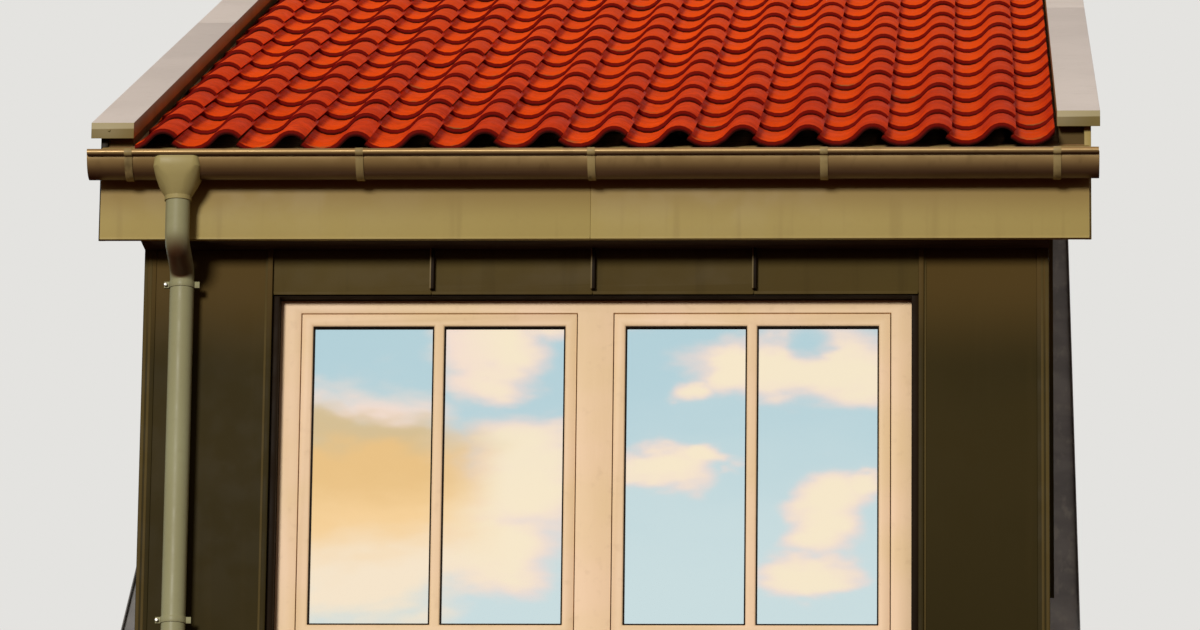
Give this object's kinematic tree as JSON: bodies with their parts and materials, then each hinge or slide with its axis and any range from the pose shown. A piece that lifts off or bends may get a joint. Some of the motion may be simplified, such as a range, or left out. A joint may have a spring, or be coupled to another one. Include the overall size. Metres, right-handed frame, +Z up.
{
  "type": "dormer window",
  "caption": "Shed dormer with a two-casement window, standing-seam cladding, pantiled roof, verge caps, half-round gutter and downpipe.",
  "frame": {"origin": "middle of the front sole's underside, in the plane of the main roof that the dormer sits on", "axes": "+X to the viewer's right along the front, +Y back into the main roof, +Z up"},
  "size_m": [3.154, 5.6458, 4.2785],
  "materials": {
    "timber": "sawn softwood and board",
    "dark_sheet": "satin olive-brown coated sheet",
    "khaki_sheet": "satin khaki coated sheet",
    "cap_sheet": "satin pale grey coated sheet",
    "clay": "matt fired clay",
    "window_paint": "satin cream paint on timber",
    "glass": "clear, reflective",
    "grey_sheet": "dull grey sheet"
  },
  "bodies": {
    "root": {"sole_front": "timber", "sole_sides": "timber", "head_trimmer": "timber", "front_lintel": "timber", "front_apron": "timber", "front_pier_left": "timber", "front_pier_right": "timber", "cheek_left": "timber", "cheek_right": "timber", "roof_slab": "timber", "soffit_box": "timber", "header_cladding": "dark_sheet", "apron_cladding": "dark_sheet", "cladding_panel_left": "dark_sheet", "cladding_panel_right": "dark_sheet", "corner_trims": "dark_sheet", "cheek_cladding_left": "dark_sheet", "cheek_cladding_right": "dark_sheet", "window_reveal": "dark_sheet", "sill_flashing": "dark_sheet", "verge_curbs": "dark_sheet", "fascia_left": "khaki_sheet", "fascia_right": "khaki_sheet", "gutter_front": "khaki_sheet", "gutter_floor": "khaki_sheet", "gutter_back": "khaki_sheet", "gutter_stop_ends": "khaki_sheet", "gutter_straps": "khaki_sheet", "gutter_outlet": "khaki_sheet", "downpipe": "khaki_sheet", "pipe_clamps": "khaki_sheet", "verge_boards": "khaki_sheet", "verge_cap_left_lower": "cap_sheet", "verge_cap_left_upper": "cap_sheet", "verge_cap_right_lower": "cap_sheet", "verge_cap_right_upper": "cap_sheet", "tile_covering": "clay", "window_frame": "window_paint", "casement_left": "window_paint", "casement_right": "window_paint", "panes": "glass", "apron_flashing": "grey_sheet", "side_flashings": "grey_sheet", "top_flashing": "grey_sheet"}
  },
  "joints": []
}
